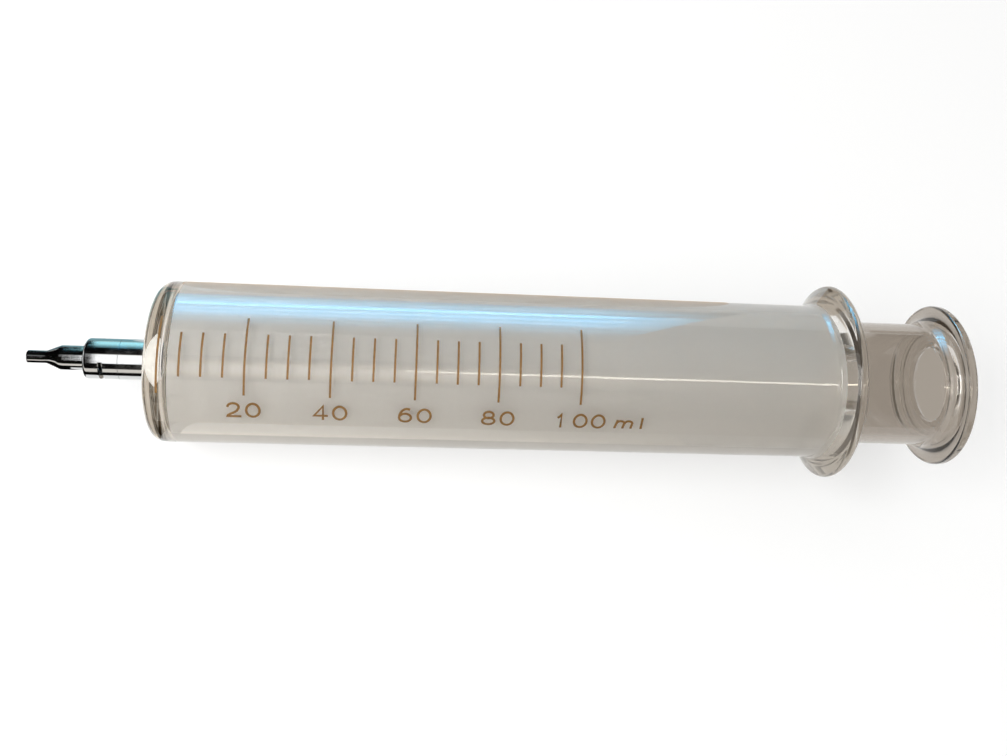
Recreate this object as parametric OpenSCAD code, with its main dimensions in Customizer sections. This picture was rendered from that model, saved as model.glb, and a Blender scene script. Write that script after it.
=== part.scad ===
// All-glass syringe of 100 ml: a ground glass barrel with a finger flange, a
// hollow ground glass plunger, and a plated metal tip on the barrel's neck.
// It lies along X, with the end of the tip at the origin and the thumb end
// toward +X. Stations are measured along X from the end of the tip.

/* [Scale] */
// Largest volume on the scale, in millilitres
capacity_ml = 100; // [50:10:120]
// Volume between two neighbouring lines, in millilitres
line_step_ml = 5; // [2.5:2.5:10]
// Every how many lines there is a long one
long_line_every = 4; // [2:1:5]
// Width of a line along the barrel
line_w = 0.4; // [0.3:0.05:0.6]
// Height of the fired enamel above the glass
line_t = 0.1; // [0.08:0.01:0.2]
// Arc of a long line round the barrel, in degrees
long_line_arc = 54; // [40:1:80]
// Arc of a short line round the barrel, in degrees
short_line_arc = 30; // [20:1:39]
// How far the middle of the scale is turned up from -Y, in degrees
scale_turn = 70; // [0:5:90]

/* [Glass barrel] */
// Diameter of the ground bore
bore_d = 35.7; // [34:0.1:38]
// Thickness of the barrel's wall
barrel_wall = 2.15; // [1.8:0.05:3]
// Thickness of the barrel's closed front
barrel_front_t = 4; // [3:0.5:6]
// Depth of the bore, from the closed front to the open end
bore_len = 172.7; // [160:0.1:190]
// Radius of the outer edge of the closed front
barrel_edge_r = 3.6; // [2:0.1:5]
// Radius in the corner at the bottom of the bore
bore_corner_r = 1.5; // [0.5:0.1:2]
// Diameter over the rolled finger flange
flange_d = 51.2; // [49:0.1:53]
// Radius of the flange's rounded crest
crest_r = 1.4; // [1:0.1:2]
// Distance from the middle of the crest back to the open end
crest_setback = 3.9; // [3:0.1:5]
// Length of the flange's front slope, from the tube to the middle of the crest
front_slope_len = 4.7; // [4:0.1:7]
// Radius of the hollow between the tube and that slope
slope_fillet_r = 2; // [1:0.1:3]
// Thickness of the glass round the mouth at the open end
lip_t = 1.3; // [1.3:0.1:2]
// Width of the ground lead-in at the mouth of the bore
mouth_bevel = 0.8; // [0.3:0.1:1.2]
// Diameter of the glass neck that carries the metal tip
neck_d = 7.8; // [7:0.1:8]
// Length of the glass neck
neck_len = 7.8; // [5:0.1:8]
// Diameter of the outlet through the front and the neck
outlet_d = 2.4; // [1.5:0.1:4]

/* [Glass plunger] */
// Running clearance between the plunger and the bore, on the radius
plunger_gap = 0.05; // [0.02:0.01:0.1]
// Gap between the plunger's front and the bottom of the bore at 0 ml
rest_gap = 0.3; // [0.2:0.1:1]
// Length of the ground part of the plunger
ground_len = 158; // [140:1:165]
// Radius of the plunger's front edge
plunger_edge_r = 2.2; // [2:0.1:4]
// Radius of the shoulder from the ground part down to the stem
shoulder_r = 4; // [3:0.5:6]
// Diameter of the clear stem
stem_d = 32.2; // [30:0.1:32.4]
// Thickness of the stem's wall
stem_wall = 2.2; // [1.8:0.1:3]
// Thickness of the plunger's closed front
plunger_front_t = 3; // [2.5:0.5:5]
// Length of the whole plunger
plunger_len = 200; // [195:0.5:215]
// Diameter of the thumb flange
thumb_d = 42.4; // [42.2:0.1:46]
// Thickness of the thumb flange's rim
thumb_rim_t = 2.4; // [1.8:0.1:3]
// Radius of the hollow between the stem and the rim
thumb_fillet_r = 4.3; // [2:0.1:4.4]
// Radius of the rim's front edge
thumb_front_edge_r = 0.7; // [0.3:0.1:0.8]
// Radius of the rim's back edge
thumb_back_edge_r = 0.8; // [0.5:0.1:0.9]
// Diameter of the hole in the thumb flange
thumb_hole_d = 20; // [14:0.5:23]
// Width of the bevel at the mouth of that hole
thumb_hole_bevel = 1.5; // [0.5:0.1:2]
// Thickness of the glass round that hole, along the axis
thumb_floor_t = 2.6; // [2.4:0.1:4]
// Radius in the corner at the front of the plunger's hollow
hollow_corner_r = 2; // [0.5:0.1:2.5]
// Radius where the hollow of the plunger closes in on the hole
hollow_round_r = 2; // [1:0.5:3.5]

/* [Metal tip] */
// Length of the metal tip in front of the glass
tip_len = 31.5; // [28:0.1:36]
// Outer diameter of the thin tube at the end
nozzle_d = 3.1; // [2.6:0.1:4]
// Length of the thin tube
nozzle_len = 4.7; // [3:0.1:8]
// Length of the cone behind the thin tube
cone_len = 3.5; // [2:0.1:5]
// Outer diameter of the shank behind the cone
shank_d = 6.1; // [5:0.1:6.5]
// Diameter of the bore through the nozzle
nozzle_bore_d = 1.5; // [1:0.1:1.8]
// Bevel at the end of the thin tube
nozzle_bevel = 0.2; // [0.1:0.05:0.4]
// Diameter of the base that holds the nozzle in the collar
base_d = 8.2; // [7.4:0.1:8.2]
// Thickness of that base
base_t = 1.6; // [1:0.1:2]
// Outer diameter of the collar and the ferrule
sleeve_d = 10.1; // [9.9:0.1:11]
// Length of the collar, from its front to the seam
collar_len = 8.5; // [7:0.1:10]
// Thickness of the collar's front wall
collar_front_t = 1.4; // [1:0.1:2]
// Radius of the collar's front edge
collar_edge_r = 1; // [0.4:0.1:1.3]
// Diameter of the collar's inside
collar_bore_d = 8.4; // [8.4:0.1:8.8]
// Clearance of the shank in the collar's front, on the radius
shank_gap = 0.05; // [0.02:0.01:0.2]
// Width of the two cross slots in the collar
slot_w = 1.2; // [0.8:0.1:1.6]
// Distance from the collar's front to the middle of the slots
slot_setback = 4.4; // [3:0.1:6]
// Arc of each cross slot, in degrees
slot_arc = 88; // [40:1:110]
// Where the first slot starts, in degrees below the middle of the scale
slot_start = 16; // [0:1:40]
// Thickness of the ferrule's front wall
ferrule_front_t = 1; // [0.8:0.1:1.5]
// Thickness of the cement round the glass neck
cement_t = 0.3; // [0.2:0.05:0.5]
// Width of the ring of cement between the ferrule and the glass
cement_ring_w = 0.8; // [0.4:0.1:1.2]
// How far that ring stands out beyond the ferrule
cement_ring_out = 0.2; // [0:0.05:0.4]

/* [Hidden] */
$fn = 96;
slack = 1;

bore_r = bore_d / 2;
barrel_r = bore_r + barrel_wall;
face_x = tip_len;
zero_x = face_x + barrel_front_t;
mouth_x = zero_x + bore_len;
crest_x = mouth_x - crest_setback;
crest_mid_r = flange_d / 2 - crest_r;
lip_r = bore_r + lip_t;
foot_x = crest_x - front_slope_len;
neck_r = neck_d / 2;
neck_x = face_x - neck_len;
outlet_r = outlet_d / 2;

// The flange's front and back slopes both touch the round of the crest. Each
// slope is an angle in degrees from the axis.
front_slope = touch_slope(front_slope_len, crest_mid_r - barrel_r, crest_r);
back_slope = touch_slope(crest_setback, crest_mid_r - lip_r, crest_r);
front_touch = [crest_mid_r + crest_r * cos(front_slope), crest_x - crest_r * sin(front_slope)];
back_touch = [crest_mid_r + crest_r * cos(back_slope), crest_x + crest_r * sin(back_slope)];
fillet_reach = slope_fillet_r * tan(front_slope / 2);

// Length of bore that holds one millilitre, and the lines that it gives
ml_len = 1000 / (PI * bore_r * bore_r);
line_count = floor(capacity_ml / line_step_ml);
line_pitch = line_step_ml * ml_len;

plunger_r = bore_r - plunger_gap;
plunger_x = zero_x + rest_gap;
plunger_end_x = plunger_x + plunger_len;
stem_r = stem_d / 2;
hollow_r = stem_r - stem_wall;
thumb_r = thumb_d / 2;
rim_x = plunger_end_x - thumb_rim_t;
thumb_hole_r = thumb_hole_d / 2;
hollow_end_x = plunger_end_x - thumb_floor_t;

nozzle_r = nozzle_d / 2;
shank_r = shank_d / 2;
shank_x = nozzle_len + cone_len;
sleeve_r = sleeve_d / 2;
ferrule_x = neck_x - ferrule_front_t;
collar_x = ferrule_x - collar_len;
ferrule_end_x = face_x - cement_ring_w;
socket_r = neck_r + cement_t;

glass_tint = [0.86, 0.88, 0.87, 0.45];
ground_tint = [0.80, 0.79, 0.77, 0.6];
chrome_tint = [0.72, 0.74, 0.76];
cement_tint = [0.62, 0.62, 0.60];
enamel_tint = [0.62, 0.42, 0.14];

// Slope of a line that starts run before a circle's middle and drop under it,
// and touches the circle of radius q on its outer side
function touch_slope(run, drop, q) = atan2(drop, run) + asin(q / norm([run, drop]));

// Revolves a half section, drawn with the radius across and the station up,
// about the X axis
module turned() {
    rotate([0, 90, 0]) rotate_extrude() children();
}

// Half section of a round bar of radius r from station x0 to station x1, with
// its front and back edges rounded
module bar(r, x0, x1, front_edge_r = 0, back_edge_r = 0) {
    difference() {
        translate([0, x0]) square([r, x1 - x0]);
        if (front_edge_r > 0) edge_waste(r, x0, front_edge_r, 1);
        if (back_edge_r > 0) edge_waste(r, x1, back_edge_r, -1);
    }
}

// What a rounding of radius q takes off an outer edge. inward is 1 where the
// bar lies behind the edge and -1 where it lies in front of it.
module edge_waste(r, x, q, inward) {
    difference() {
        translate([r - q, inward > 0 ? x - slack : x - q]) square([q + slack, q + slack]);
        translate([r - q, x + inward * q]) circle(q);
    }
}

// Ring sector round the X axis, between two radii and two stations, that runs
// on by arc degrees from start, measured down from the middle of the scale
module ring_sector(r0, r1, x0, x1, start, arc) {
    rotate([180 - scale_turn + start, 0, 0])
        rotate([0, 90, 0])
            rotate([0, 0, 90])
                rotate_extrude(angle = arc)
                    translate([r0, x0]) square([r1 - r0, x1 - x0]);
}

// Glass tube with a closed front, a neck and a rolled finger flange
module barrel() {
    color(glass_tint) turned() {
        difference() {
            union() {
                bar(barrel_r, face_x, crest_x, barrel_edge_r);
                flange_section();
                flange_fillet();
                translate([0, neck_x]) square([neck_r, neck_len + slack]);
            }
            bar(bore_r, zero_x, mouth_x + slack, bore_corner_r);
            translate([0, neck_x - slack]) square([outlet_r, zero_x - neck_x + 2 * slack]);
            mouth_cut();
        }
    }
}

// Half section of the finger flange: two slopes with a rounded crest between
module flange_section() {
    translate([crest_mid_r, crest_x]) circle(crest_r);
    polygon([[barrel_r, foot_x], front_touch, [crest_mid_r, crest_x], back_touch,
             [lip_r, mouth_x], [bore_r, mouth_x], [bore_r, foot_x]]);
}

// Glass in the hollow between the tube and the flange's front slope
module flange_fillet() {
    difference() {
        polygon([[barrel_r, foot_x - fillet_reach],
                 [barrel_r + fillet_reach * sin(front_slope), foot_x + fillet_reach * cos(front_slope)],
                 [bore_r, foot_x + fillet_reach], [bore_r, foot_x - fillet_reach]]);
        translate([barrel_r + slope_fillet_r, foot_x - fillet_reach]) circle(slope_fillet_r);
    }
}

// Lead-in at the open end of the bore
module mouth_cut() {
    polygon([[bore_r - slack, mouth_x - mouth_bevel - slack],
             [bore_r + mouth_bevel + slack, mouth_x + slack], [bore_r - slack, mouth_x + slack]]);
}

// Hollow plunger: ground piston, clear stem and thumb flange with a hole
module plunger() {
    color(ground_tint) turned() {
        difference() {
            union() {
                bar(plunger_r, plunger_x, plunger_x + ground_len + shoulder_r,
                    plunger_edge_r, shoulder_r);
                bar(stem_r, plunger_x + plunger_edge_r, rim_x + slack);
                thumb_section();
            }
            bar(hollow_r, plunger_x + plunger_front_t, hollow_end_x,
                hollow_corner_r, hollow_round_r);
            bar(thumb_hole_r, hollow_end_x - slack, plunger_end_x + slack);
            thumb_hole_cut();
        }
    }
}

// Half section of the thumb flange: a rounded rim and the hollow in front of it
module thumb_section() {
    bar(thumb_r, rim_x, plunger_end_x, thumb_front_edge_r, thumb_back_edge_r);
    difference() {
        translate([stem_r - slack, rim_x - thumb_fillet_r])
            square([thumb_fillet_r + slack, thumb_fillet_r + slack]);
        translate([stem_r + thumb_fillet_r, rim_x - thumb_fillet_r]) circle(thumb_fillet_r);
    }
}

// Bevel at the mouth of the thumb hole
module thumb_hole_cut() {
    polygon([[thumb_hole_r - slack, plunger_end_x - thumb_hole_bevel - slack],
             [thumb_hole_r + thumb_hole_bevel + slack, plunger_end_x + slack],
             [thumb_hole_r - slack, plunger_end_x + slack]]);
}

// Stepped metal nozzle, from its open end back to the base in the collar
module nozzle() {
    color(chrome_tint) turned() {
        difference() {
            union() {
                polygon([[0, 0], [nozzle_r - nozzle_bevel, 0], [nozzle_r, nozzle_bevel],
                         [nozzle_r, nozzle_len], [shank_r, shank_x],
                         [shank_r, ferrule_x], [0, ferrule_x]]);
                bar(base_d / 2, ferrule_x - base_t, ferrule_x);
            }
            translate([0, -slack]) square([nozzle_bore_d / 2, ferrule_x + 2 * slack]);
        }
    }
}

// Front ring of the tip, with two opposed cross slots through its wall
module tip_collar() {
    slot_x = collar_x + slot_setback;
    color(chrome_tint) difference() {
        turned() difference() {
            bar(sleeve_r, collar_x, ferrule_x, collar_edge_r);
            bar(collar_bore_d / 2, collar_x + collar_front_t, ferrule_x + slack);
            bar(shank_r + shank_gap, collar_x - slack, ferrule_x);
        }
        for (side = [0, 180])
            ring_sector(shank_r + shank_gap, sleeve_r + slack, slot_x - slot_w / 2,
                        slot_x + slot_w / 2, slot_start + side, slot_arc);
    }
}

// Rear sleeve of the tip, cemented over the glass neck
module ferrule() {
    color(chrome_tint) turned() difference() {
        bar(sleeve_r, ferrule_x, ferrule_end_x);
        bar(socket_r, neck_x, ferrule_end_x + slack);
        translate([0, ferrule_x - slack]) square([outlet_r, ferrule_front_t + 2 * slack]);
    }
}

// Cement between the neck and the ferrule, which ends in a ring on the glass
module neck_cement() {
    color(cement_tint) turned() difference() {
        union() {
            bar(socket_r, neck_x, face_x);
            bar(sleeve_r + cement_ring_out, ferrule_end_x, face_x);
        }
        translate([0, neck_x - slack]) square([neck_r, neck_len + 2 * slack]);
    }
}

// One enamel line at the volume of line number i
module scale_line(i, arc) {
    mid = zero_x + i * line_pitch;
    ring_sector(barrel_r, barrel_r + line_t, mid - line_w / 2, mid + line_w / 2, -arc / 2, arc);
}

// Long lines of the scale
module long_lines() {
    color(enamel_tint)
        for (i = [0 : long_line_every : line_count]) scale_line(i, long_line_arc);
}

// Short lines of the scale
module short_lines() {
    color(enamel_tint)
        for (i = [0 : line_count])
            if (i % long_line_every != 0) scale_line(i, short_line_arc);
}

barrel();
plunger();
nozzle();
tip_collar();
ferrule();
neck_cement();
long_lines();
short_lines();
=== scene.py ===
import logging
import math
from collections.abc import Callable, Iterable, Sequence
from dataclasses import dataclass, field
from enum import Enum

import bmesh
import bpy
from mathutils import Matrix, Vector, noise


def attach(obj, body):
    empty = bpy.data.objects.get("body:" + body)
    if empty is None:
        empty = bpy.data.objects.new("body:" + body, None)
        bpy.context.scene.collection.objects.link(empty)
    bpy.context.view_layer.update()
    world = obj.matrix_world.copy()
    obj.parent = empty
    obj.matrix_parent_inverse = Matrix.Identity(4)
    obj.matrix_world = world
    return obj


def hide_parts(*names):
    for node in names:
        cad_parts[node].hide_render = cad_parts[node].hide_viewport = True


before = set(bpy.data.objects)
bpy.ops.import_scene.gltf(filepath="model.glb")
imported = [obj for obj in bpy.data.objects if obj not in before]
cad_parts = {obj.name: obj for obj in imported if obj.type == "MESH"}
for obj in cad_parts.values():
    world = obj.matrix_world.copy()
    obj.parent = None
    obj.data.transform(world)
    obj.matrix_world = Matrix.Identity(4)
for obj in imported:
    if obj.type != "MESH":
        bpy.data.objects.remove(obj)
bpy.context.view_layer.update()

log = logging.getLogger("syringe")
Point = tuple[float, float]
Triple = tuple[float, float, float]
Colour = tuple[float, float, float, float]
Mesh = bmesh.types.BMesh
Piece = bpy.types.Object
Socket = bpy.types.NodeSocket
Tree = bpy.types.NodeTree

MM = 0.001
ON_AXIS = 1e-6
WHITE = (1.0, 1.0, 1.0, 1.0)
X_AXIS = Vector((1.0, 0.0, 0.0))
# Kinds of ray that panels and cards don't show to, so that they light nothing and cast no shadow
UNLIT = ("camera", "diffuse", "shadow")
# The middle of the scale faces -Y, turned up by this many degrees
SCALE_TURN = 70.0
# The camera stands this many degrees above the horizon, seen along the barrel
CAMERA_TURN = 65.5


def linear(code: str) -> Colour:
    """Turns a written sRGB colour, such as #FAF9F6, into the linear colour and alpha that a socket takes."""
    shares = [int(code[i : i + 2], 16) / 255 for i in (1, 3, 5)]
    return (*(s / 12.92 if s <= 0.04045 else ((s + 0.055) / 1.055) ** 2.4 for s in shares), 1.0)


def add_node(tree: Tree, kind: str, feeds: dict | None = None, **settings: object) -> bpy.types.NodeOutputs:
    """Adds one node to a tree, with its settings and what feeds its inputs.

    Args:
        tree: the tree that gets the node.
        kind: Blender's own name for the kind of node.
        feeds: for an input's name or number, a fixed value or the output socket that is linked to it.
        settings: the node's own settings by name.

    Returns:
        The new node's outputs.
    """
    node = tree.nodes.new(kind)
    for name, value in settings.items():
        setattr(node, name, value)
    for key, value in (feeds or {}).items():
        if isinstance(value, Socket):
            tree.links.new(value, node.inputs[key])
        else:
            node.inputs[key].default_value = value
    return node.outputs


def outward(turn: float) -> Vector:
    """Direction out from the axis, a number of degrees above the horizon."""
    return Vector((0.0, -math.cos(math.radians(turn)), math.sin(math.radians(turn))))


def radial(angle: float) -> Vector:
    """Direction out from the axis, a number of degrees below the middle of the scale."""
    return outward(SCALE_TURN - angle)


def toward_camera(angle: float) -> Vector:
    """Direction out from the axis, a number of degrees above the way to the camera."""
    return outward(CAMERA_TURN + angle)


def place(x: float, r: float, angle: float) -> Vector:
    """Point in metres at a station and a radius in millimetres, and an angle below the scale's middle."""
    return (X_AXIS * x + radial(angle) * r) * MM


def wave(x: float, out: Vector, length: float, turns: float, shift: Point = (0.0, 0.0)) -> float:
    """Soft random value about 0 at a station and a direction. Its waves have a length in millimetres."""
    return noise.noise(Vector((x / length, out.y * turns + shift[0], out.z * turns + shift[1])))


@dataclass(frozen=True)
class Pattern:
    """Soft random pattern in the piece's own coordinates, with finer layers on it.

    Its size is that of one patch along X, Y and Z in millimetres.
    """

    size: Triple
    layers: float = 2.0

    def value(self, tree: Tree) -> Socket:
        """Adds the pattern itself.

        Args:
            tree: the material's tree.

        Returns:
            The pattern's value, about 0.5 on average.
        """
        here = add_node(tree, "ShaderNodeTexCoord")["Object"]
        scale = tuple(1 / (s * MM) for s in self.size)
        patches = add_node(tree, "ShaderNodeMapping", {"Vector": here, "Scale": scale})[0]
        feeds = {"Vector": patches, "Scale": 1.0, "Detail": self.layers}
        return add_node(tree, "ShaderNodeTexNoise", feeds)["Fac"]

    def between(self, tree: Tree, low: float, high: float) -> Socket:
        """Adds a value that wanders between two ends over the pattern's middle part, and returns it."""
        feeds = {"Value": self.value(tree), "From Min": 0.3, "From Max": 0.7, "To Min": low, "To Max": high}
        return add_node(tree, "ShaderNodeMapRange", feeds)["Result"]

    def mottle(self, tree: Tree, one: str, other: str) -> Socket:
        """Adds a colour that wanders between two written ones, and returns it."""
        feeds = {"Factor": self.between(tree, 0.0, 1.0), "A": linear(one), "B": linear(other)}
        return add_node(tree, "ShaderNodeMix", feeds, data_type="RGBA")["Result"]

    def relief(self, tree: Tree, depth_mm: float, strength: float) -> Socket:
        """Adds marks as deep as the real ones, of which a share is used, and returns the bent normal."""
        feeds = {"Height": self.value(tree), "Distance": depth_mm * MM, "Strength": strength}
        return add_node(tree, "ShaderNodeBump", feeds)["Normal"]


@dataclass(frozen=True)
class Finish:
    """What a surface is made of. Each kind fills in its own nodes."""

    name: str

    def make(self) -> bpy.types.Material:
        """Builds the material once, and finds it after that.

        Returns:
            The material.
        """
        found = bpy.data.materials.get(self.name)
        if found:
            return found
        material = bpy.data.materials.new(self.name)
        material.use_nodes = True
        tree = material.node_tree
        tree.nodes.clear()
        feeds = {"Surface": self.shade(tree)}
        inside = self.depth(tree)
        if inside:
            feeds["Volume"] = inside
        add_node(tree, "ShaderNodeOutputMaterial", feeds)
        return material

    def shade(self, tree: Tree) -> Socket:
        """Adds the nodes of this finish, and returns the shader's output."""
        raise NotImplementedError

    def depth(self, tree: Tree) -> Socket | None:
        """Adds what the inside does to light, which is nothing unless a finish says so."""
        return None


@dataclass(frozen=True)
class Surface(Finish):
    """Finish of a real surface, which has Blender's principled shader."""

    def sockets(self, tree: Tree) -> dict[str, object]:
        """Adds the patterns of this surface, and returns what each input of the shader gets."""
        raise NotImplementedError

    def shade(self, tree: Tree) -> Socket:
        """Adds the shader with the inputs of this surface, and returns its output."""
        return add_node(tree, "ShaderNodeBsdfPrincipled", self.sockets(tree))[0]


@dataclass(frozen=True)
class SodaGlass(Surface):
    """What clear and ground glass share: old soda glass is a little grey and brown where it is thick."""

    tint: str = "#FAF9F6"
    ior: float = 1.48
    clear_share: float = 1.0
    # Colour of the glass, and how much of it 1 m would hold, so that 18 mm at the tube's edge looks grey
    depth_colour: str = "#D2C9BA"
    per_metre: float = 16.0

    def body(self) -> dict[str, object]:
        """Inputs of the shader that both kinds share."""
        return {"Base Color": linear(self.tint), "IOR": self.ior, "Transmission Weight": self.clear_share}

    def depth(self, tree: Tree) -> Socket:
        """Adds the slight colour of thick glass, and returns the volume's output."""
        thick = {"Color": linear(self.depth_colour), "Density": self.per_metre}
        return add_node(tree, "ShaderNodeVolumeAbsorption", thick)[0]


@dataclass(frozen=True)
class DrawnGlass(SodaGlass):
    """Clear soda glass, drawn as tube and fire polished."""

    smooth: float = 0.01
    smeared: float = 0.035

    def sockets(self, tree: Tree) -> dict[str, object]:
        """Adds draw lines along the tube and thin smears of handling."""
        # Draw lines run along the tube about 1 mm apart. They break up the edges of reflections into streaks.
        lines, smears = Pattern((120, 0.9, 0.9)).relief(tree, 0.02, 0.35), Pattern((18, 7, 7), 3.0)
        return {**self.body(), "Roughness": smears.between(tree, self.smooth, self.smeared), "Normal": lines}


@dataclass(frozen=True)
class GroundGlass(SodaGlass):
    """Glass ground with fine grit, so that it is frosted and seals against its mate."""

    clear_share: float = 0.4
    fine: float = 0.42
    coarse: float = 0.55

    def sockets(self, tree: Tree) -> dict[str, object]:
        """Adds the round marks of the grinding and its uneven frosting."""
        # Grinding turns the piece, so its marks run round it. Real ones are 0.05 mm apart, too fine
        # to show, so they are drawn about 0.35 mm apart.
        marks, frosting = Pattern((0.35, 9, 9), 3.0).relief(tree, 0.006, 0.5), Pattern((16, 11, 11))
        return {**self.body(), "Roughness": frosting.between(tree, self.fine, self.coarse), "Normal": marks}


@dataclass(frozen=True)
class BrightPlating(Surface):
    """Chrome plating on turned and polished brass."""

    colour: str = "#C9CACB"
    polished: float = 0.05
    worn: float = 0.13

    def sockets(self, tree: Tree) -> dict[str, object]:
        """Adds turning marks under the plating and dull wear.

        Args:
            tree: the material's tree.

        Returns:
            What each input of the shader gets.
        """
        # Turning marks left under the plating run round the piece, about 0.2 mm apart.
        wear = {"Roughness": Pattern((2.5, 1.2, 1.2), 4.0).between(tree, self.polished, self.worn)}
        marks = {"Normal": Pattern((0.2, 6, 6), 3.0).relief(tree, 0.004, 0.3)}
        return {"Base Color": linear(self.colour), "Metallic": 1.0, **wear, **marks}


@dataclass(frozen=True)
class NeckCement(Surface):
    """Litharge cement, smoothed off by hand and left matt."""

    light: str = "#A3A19B"
    dark: str = "#75736E"
    matt: float = 0.85
    lift: float = 0.0

    def sockets(self, tree: Tree) -> dict[str, object]:
        """Adds the cement's mottling and its grain of about 0.25 mm.

        Args:
            tree: the material's tree.

        Returns:
            What each input of the shader gets.
        """
        paste = Pattern((1.5, 1.5, 1.5)).mottle(tree, self.light, self.dark)
        grain = Pattern((0.25, 0.25, 0.25), 3.0).relief(tree, 0.05, 0.6)
        # Stands in for the lamplight that Cycles can't carry through the glass wall to sunk cement
        lift = {"Emission Color": paste, "Emission Strength": self.lift}
        return {"Base Color": paste, "Roughness": self.matt, "Normal": grain, **lift}


@dataclass(frozen=True)
class FiredEnamel(Surface):
    """Brown enamel, printed and fired on the glass."""

    thick: str = "#6C4817"
    thin: str = "#876023"
    ior: float = 1.52
    gloss: float = 0.38

    def sockets(self, tree: Tree) -> dict[str, object]:
        """Adds the uneven ink and the pitted skin of the firing.

        Args:
            tree: the material's tree.

        Returns:
            What each input of the shader gets.
        """
        # The ink lies thicker and thinner over half a millimetre, as a screen leaves it.
        ink = Pattern((0.5, 0.5, 0.5), 3.0).mottle(tree, self.thick, self.thin)
        pits = Pattern((0.12, 0.12, 0.12)).relief(tree, 0.01, 0.5)
        return {"Base Color": ink, "IOR": self.ior, "Roughness": self.gloss, "Normal": pits}


@dataclass(frozen=True)
class PaleSweep(Finish):
    """Plain white board under the part. Its own glow lifts it to white where nothing shades it."""

    colour: str = "#B0B0AF"
    glow: float = 0.58

    def shade(self, tree: Tree) -> Socket:
        """Adds the board and the glow that direct, mirrored and refracted looks get.

        Args:
            tree: the material's tree.

        Returns:
            The shader's output.
        """
        board = add_node(tree, "ShaderNodeBsdfDiffuse", {"Color": linear(self.colour)})
        light = {"Color": WHITE, "Strength": looked_at(tree, self.glow, 0.0)}
        glow = add_node(tree, "ShaderNodeEmission", light)
        return add_node(tree, "ShaderNodeAddShader", {0: board[0], 1: glow[0]})[0]


@dataclass(frozen=True)
class Glow(Finish):
    """Light panel or black flag of the studio, of one colour and strength. Lengths in metres.

    It can fade out between two stations, fade from a middle angle to both sides, and be streaky.
    """

    colour: str = "#FFFFFF"
    strength: float = 1.0
    fade_from: float = 5.0
    fade_to: float = 6.0
    end_strength: float = 0.0
    middle: float = 0.0
    soft_over: float = 0.0
    streaks: float = 0.0

    def shade(self, tree: Tree) -> Socket:
        """Adds the panel's light and how it fades.

        Args:
            tree: the material's tree.

        Returns:
            The shader's output.
        """
        here = add_node(tree, "ShaderNodeTexCoord")["Object"]
        at = add_node(tree, "ShaderNodeSeparateXYZ", {0: here})["X"]
        ends = {"From Min": self.fade_from, "From Max": self.fade_to}
        ends |= {"To Min": self.strength, "To Max": self.end_strength}
        light = add_node(tree, "ShaderNodeMapRange", {"Value": at, **ends})[0]
        shares = []
        if self.soft_over:
            side = {0: here, 1: toward_camera(self.middle + 90)}
            across = add_node(tree, "ShaderNodeVectorMath", side, operation="DOT_PRODUCT")["Value"]
            off = add_node(tree, "ShaderNodeMath", {0: across}, operation="ABSOLUTE")[0]
            soft = {"Value": off, "From Max": self.soft_over, "To Min": 1.0, "To Max": 0.0}
            shares.append(add_node(tree, "ShaderNodeMapRange", soft, interpolation_type="SMOOTHSTEP")[0])
        if self.streaks:
            # Streaks that run the whole length of the panel, each a few centimetres wide
            shares.append(Pattern((1500, 38, 38)).between(tree, 1 - self.streaks, 1 + self.streaks))
        for share in shares:
            light = add_node(tree, "ShaderNodeMath", {0: light, 1: share}, operation="MULTIPLY")[0]
        return add_node(tree, "ShaderNodeEmission", {"Color": linear(self.colour), "Strength": light})[0]


def looked_at(tree: Tree, seen: float, lit: float) -> Socket:
    """One value for rays that look, mirror or pass through glass, and another for those that only light.

    Args:
        tree: the tree of a stage material or of the world.
        seen: value for camera, glossy and transmission rays.
        lit: value for every other ray.

    Returns:
        The value's socket.
    """
    path = add_node(tree, "ShaderNodeLightPath")
    look = path["Is Glossy Ray"]
    for ray in ("Is Transmission Ray", "Is Camera Ray"):
        look = add_node(tree, "ShaderNodeMath", {0: path[ray], 1: look}, operation="MAXIMUM")[0]
    return add_node(tree, "ShaderNodeMapRange", {"Value": look, "To Min": lit, "To Max": seen})["Result"]


@dataclass
class Outline:
    """Half section of a turned piece, walked once round its edge, in millimetres.

    Each point is a station, a radius and the number of the finish of the surface that leads to it.
    """

    start: Point
    longest_run: float = 3.0
    points: list[tuple[float, float, int]] = field(default_factory=list)

    def __post_init__(self) -> None:
        """Keeps the first point."""
        self.points.append((*self.start, 0))

    def to(self, *ends: Point, finish: int = 0) -> "Outline":
        """Goes on in straight lines.

        Args:
            ends: station and radius of each line's end.
            finish: number of the surface's finish.

        Returns:
            The same outline.
        """
        for x, r in ends:
            x0, r0, _ = self.points[-1]
            parts = max(1, math.ceil(math.hypot(x - x0, r - r0) / self.longest_run))
            for i in range(1, parts + 1):
                self.points.append((x0 + (x - x0) * i / parts, r0 + (r - r0) * i / parts, finish))
        return self

    def round(self, mid: Point, end: Point, turn: int, finish: int = 0) -> "Outline":
        """Goes on along an arc, with at least four faces and one for each five degrees.

        Args:
            mid: station and radius of the arc's centre.
            end: station and radius of the arc's end.
            turn: 1 where the arc runs from +X towards growing radius, and -1 the other way.
            finish: number of the surface's finish.

        Returns:
            The same outline.
        """
        x0, r0, _ = self.points[-1]
        begin = math.atan2(r0 - mid[1], x0 - mid[0])
        sweep = (math.atan2(end[1] - mid[1], end[0] - mid[0]) - begin) * turn % math.tau
        size = math.hypot(x0 - mid[0], r0 - mid[1])
        parts = max(4, math.ceil(math.degrees(sweep) / 5))
        for i in range(1, parts):
            a = begin + turn * sweep * i / parts
            self.points.append((mid[0] + size * math.cos(a), mid[1] + size * math.sin(a), finish))
        self.points.append((*end, finish))
        return self

    def closed(self) -> "Outline":
        """Goes back to the start."""
        return self.to(self.start)


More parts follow.
